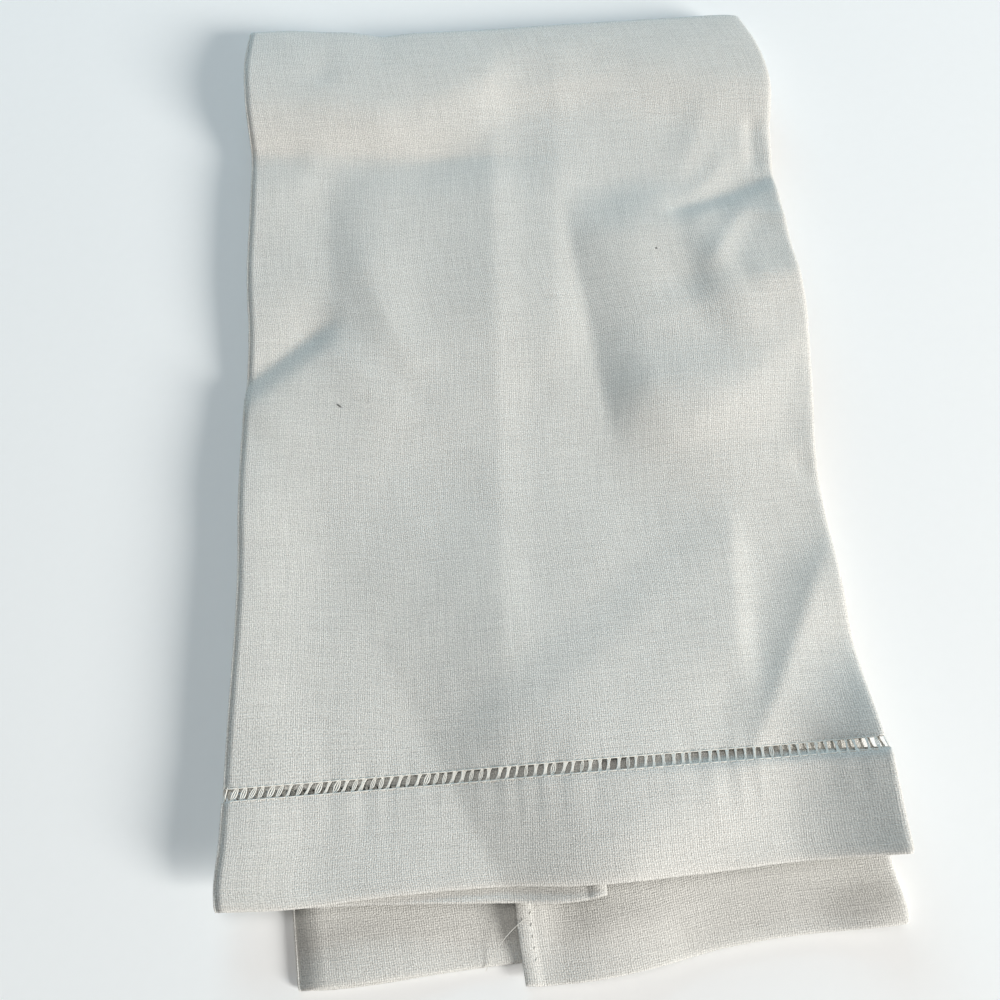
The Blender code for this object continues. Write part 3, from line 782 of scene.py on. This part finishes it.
def lay_threads(tree, starts, reaches, outs, fans, **sizes):
    """A mesh with one run of thread for each start, of one straight strand unless sizes says
    otherwise."""
    sizes = {"Strands": 1, "Steps": 5, "Fan": 0.0, "Belly": 0.0, "Bow": 0.0, **sizes}
    points = bpy.data.meshes.new("thread starts")
    points.from_pydata([tuple(start) for start in starts], [], [])
    for name, kind, values in (("reach", "FLOAT_VECTOR", reaches), ("out", "FLOAT_VECTOR", outs)):
        points.attributes.new(name, kind, "POINT").data.foreach_set(
            "vector", np.asarray(values, dtype=np.float32).ravel())
    points.attributes.new("fan", "FLOAT", "POINT").data.foreach_set(
        "value", np.asarray(fans, dtype=np.float32))
    holder = link("thread starts", points)
    modifier = holder.modifiers.new("thread runs", "NODES")
    modifier.node_group = tree
    for socket in tree.interface.items_tree:
        if socket.name in sizes:
            modifier[socket.identifier] = sizes[socket.name]
    seen = holder.evaluated_get(bpy.context.evaluated_depsgraph_get())
    mesh = bpy.data.meshes.new_from_object(seen)
    bpy.data.objects.remove(holder)
    return mesh


def join(name, meshes):
    """One object of several meshes that share a material. What would stand out below the towel
    is pressed flat against the table."""
    made = [link(name, mesh) for mesh in meshes]
    with bpy.context.temp_override(active_object=made[0], selected_editable_objects=made):
        bpy.ops.object.join()
    made[0].name = name
    spare = FLOOR_GAP * 0.8
    for point in made[0].data.vertices:
        if point.co.z < 0:
            point.co.z = spare * (exp(point.co.z / spare) - 1)
    return made[0]


def read_row(sheet, row, across, lift):
    """Points of the cloth and its outward directions, at places across one row. lift is 0 at the
    cloth's middle and 1 at its face."""
    out = sheet.outward(row)
    at = sheet.across[row]
    points = sheet.middle[row] * (1 - lift) + sheet.face[row] * lift
    points = np.stack([np.interp(across, at, points[:, k]) for k in range(3)], axis=1)
    up = np.stack([np.interp(across, at, out[:, k]) for k in range(3)], axis=1)
    return points, up / np.linalg.norm(up, axis=1)[:, None]


def ladder_threads(sheet, top_row, foot_row, tree, thread, seed):
    """Bars of drawn threads, gathered in bundles, the whipping along both sides, and the short
    stitches that hold each bundle to the cloth."""
    chance = np.random.default_rng(seed)
    count = int((FLAT_WIDTH - 2 * SIDE_HEM_WIDTH) / LADDER_PITCH)
    foot_at = SIDE_HEM_WIDTH + LADDER_PITCH * (np.arange(count) + 0.5)
    foot_at += chance.normal(0.0, 0.00014, count)
    top_at = foot_at + curve(LADDER_BARS, foot_at, "slant") + chance.normal(0.0, 0.00018, count)
    foot, up = read_row(sheet, foot_row, foot_at, 0.3)
    top, _ = read_row(sheet, top_row, top_at, 0.0)
    fans = curve(LADDER_BARS, foot_at, "fan") * chance.uniform(0.7, 1.3, count)
    looped = chance.uniform(0.0, 1.0, count) < curve(LADDER_BARS, foot_at, "loops")
    meshes = []
    for kind, strands, fan, belly in ((~looped, 5, 0.00040, -0.00022),
                                      (looped, 3, 0.00012, 0.00026)):
        meshes.append(lay_threads(tree, foot[kind], (top - foot)[kind], up[kind], fans[kind],
                                  Strands=strands, Steps=6, Radius=0.00013, Fan=fan, Belly=belly,
                                  Arch=0.00010, Dive=-0.00010, Thread=thread))
    inside = foot_row + (1 if foot_row > top_row else -1)
    above = top_row + (-1 if foot_row > top_row else 1)
    for row, next_row, at, length in ((foot_row, inside, foot_at, 0.0004),
                                      (top_row, above, top_at, 0.0003)):
        start, up = read_row(sheet, row, at[:-1], 0.95)
        end, _ = read_row(sheet, row, at[1:], 0.95)
        meshes.append(lay_threads(tree, start, end - start, up, np.ones(count - 1),
                                  Radius=0.00019, Arch=0.00008, Dive=0.00008, Thread=thread))
        start, up = read_row(sheet, row, at, 1.0)
        inner, _ = read_row(sheet, next_row, at, 1.0)
        reach = inner - start
        reach *= (length * chance.uniform(0.6, 1.4, count)
                  / np.linalg.norm(reach, axis=1))[:, None]
        meshes.append(lay_threads(tree, start, reach, up, np.ones(count), Radius=0.00013,
                                  Arch=0.00004, Dive=0.00010, Thread=thread))
    return meshes


def side_hem_stitches(sheet, tree, thread):
    """Small hand stitches along the inner edge of both side hems, one every few millimetres."""
    spacing, length, slant = 0.0026, 0.0009, 0.0003
    from_end, from_ladder = 0.0040, 0.0030
    meshes = []
    runs = np.arange(from_end, FLAT_LENGTH - from_end, spacing)
    gaps = [HEM_DEPTH + LADDER_HEIGHT / 2, FLAT_LENGTH - HEM_DEPTH - LADDER_HEIGHT / 2]
    runs = np.array([run for run in runs if all(abs(run - gap) > from_ladder for gap in gaps)])
    for inward in (SIDE_HEM_WIDTH - STITCH_INSET, FLAT_WIDTH - SIDE_HEM_WIDTH + STITCH_INSET):
        face, up = [], []
        for shift, lean in ((0.0, 0.0), (length, slant)):
            at = np.full(len(sheet.rows), inward + lean)
            points = np.array([[np.interp(a, sheet.across[r], sheet.face[r, :, k])
                                for k in range(3)] for r, a in enumerate(at)])
            outs = np.array([[np.interp(a, sheet.across[r], sheet.outward(r)[:, k])
                              for k in range(3)] for r, a in enumerate(at)])
            face.append(np.stack([np.interp(runs + shift, sheet.along, points[:, k])
                                  for k in range(3)], axis=1))
            up.append(np.stack([np.interp(runs + shift, sheet.along, outs[:, k])
                                for k in range(3)], axis=1))
        meshes.append(lay_threads(tree, face[0], face[1] - face[0], up[0], np.ones(len(runs)),
                                  Radius=0.00008, Arch=0.00010, Dive=0.00003, Thread=thread))
    return meshes


def loose_thread(tree, thread):
    """A stray end of thread that hangs over the right flap's edge and lies on the left flap."""
    start = np.array([[-0.0018, -0.1070, 0.0053]]) - np.array([[*PLAN_ORIGIN, 0.0]])
    reach = np.array([[-0.0098, -0.0110, -0.0035]])
    return lay_threads(tree, start, reach, [(0, 0, 1)], [1.0], Steps=14, Radius=0.00009,
                       Bow=0.0010, Arch=0.0003, Dive=0.0, Thread=thread)


# Camera and light

def make_camera():
    """The camera stands over the hems and looks down at the towel."""
    tilt, turn, distance = radians(18.7), radians(4.0), 0.253
    focal, width = 32.4, 36.0    # millimetres
    forward = Vector((0, sin(tilt), -cos(tilt)))
    right = Vector((1, 0, 0))
    turned = Matrix.Rotation(-turn, 3, "Z")
    axes = (turned @ right, turned @ right.cross(forward), turned @ -forward)
    camera = bpy.data.objects.new("camera", bpy.data.cameras.new("camera"))
    camera.data.lens, camera.data.sensor_width = focal, width
    placed = Matrix(axes).transposed().to_4x4()
    placed.translation = Vector((-PLAN_ORIGIN[0], -PLAN_ORIGIN[1], 0)) + axes[2] * distance
    camera.matrix_world = placed
    bpy.context.scene.collection.objects.link(camera)
    bpy.context.scene.camera = camera


# Round soft lights that look at the towel, in degrees, metres and watts. Azimuth 0 is on the
# hems' side.
Softbox = namedtuple("Softbox", "name azimuth elevation distance size power colour")
SOFTBOXES = (
    Softbox("window", 56, 21, 2.4, 0.90, 74.0, (1.0, 0.992, 0.97)),
    Softbox("overhead", 190, 80, 2.0, 0.9, 8.5, (1.0, 0.995, 0.98)),
    Softbox("sky", 190, 20, 1.6, 0.9, 11.0, (0.42, 0.78, 1.0)),
)


def hang_light(box):
    light = bpy.data.lights.new(box.name, "AREA")
    light.shape, light.size = "DISK", box.size
    light.energy, light.color = box.power, box.colour
    a, e = radians(box.azimuth), radians(box.elevation)
    towards = Vector((sin(a) * cos(e), -cos(a) * cos(e), sin(e)))
    lamp = bpy.data.objects.new(box.name, light)
    lamp.location = towards * box.distance
    lamp.rotation_euler = (-towards).to_track_quat("-Z", "Y").to_euler()
    bpy.context.scene.collection.objects.link(lamp)


def make_studio():
    """The lights, a dim grey room round them, and the table's top."""
    for box in SOFTBOXES:
        hang_light(box)
    world = bpy.data.worlds.new("studio")
    bpy.context.scene.world = world
    world.use_nodes = True
    background = world.node_tree.nodes["Background"]
    background.inputs[0].default_value = (1.0, 0.99, 0.98, 1.0)
    background.inputs[1].default_value = 0.15
    bpy.context.scene.view_settings.view_transform = "Standard"
    mesh = bpy.data.meshes.new("floor")
    reach, level = 2.0, -FLOOR_GAP
    corners = [(-reach, -reach, level), (reach, -reach, level), (reach, reach, level),
               (-reach, reach, level)]
    mesh.from_pydata(corners, [], [(0, 1, 2, 3)])
    mesh.materials.append(studio_floor())
    floor = link("floor", mesh)
    return floor


# Everything in its place

make_camera()
floor = make_studio()

front_leaf, front_hem = leaf_rows("front")
back_leaf, back_hem = leaf_rows("back")
arc = TIP_REACH + pi / 2
tip = [Row("tip", turn=TIP_REACH - arc * k / TIP_ROWS) for k in range(TIP_ROWS + 1)]
sheet = Sheet(front_hem[::-1] + front_leaf[::-1] + tip + back_leaf + back_hem)
front_top = len(front_hem)
back_top = len(sheet.rows) - len(back_hem) - 1
bands = ((0, front_top - 1), (front_top, back_top), (back_top + 1, len(sheet.rows) - 1))
linen = bleached_linen([(speck, on_open_cloth(sheet, speck.x, speck.y)) for speck in SPECKS])
cloth = cloth_piece(sheet, bands, linen)

runs, thread = thread_runs(), sewing_thread()
ladders = join("ladder_threads", ladder_threads(sheet, front_top, front_top - 1, runs, thread, 11)
               + ladder_threads(sheet, back_top, back_top + 1, runs, thread, 12))
stitches = join("side_hem_stitches", side_hem_stitches(sheet, runs, thread)
                + [loose_thread(runs, thread)])

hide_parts("towel")
for piece in (cloth, ladders, stitches):
    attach(piece, "root")
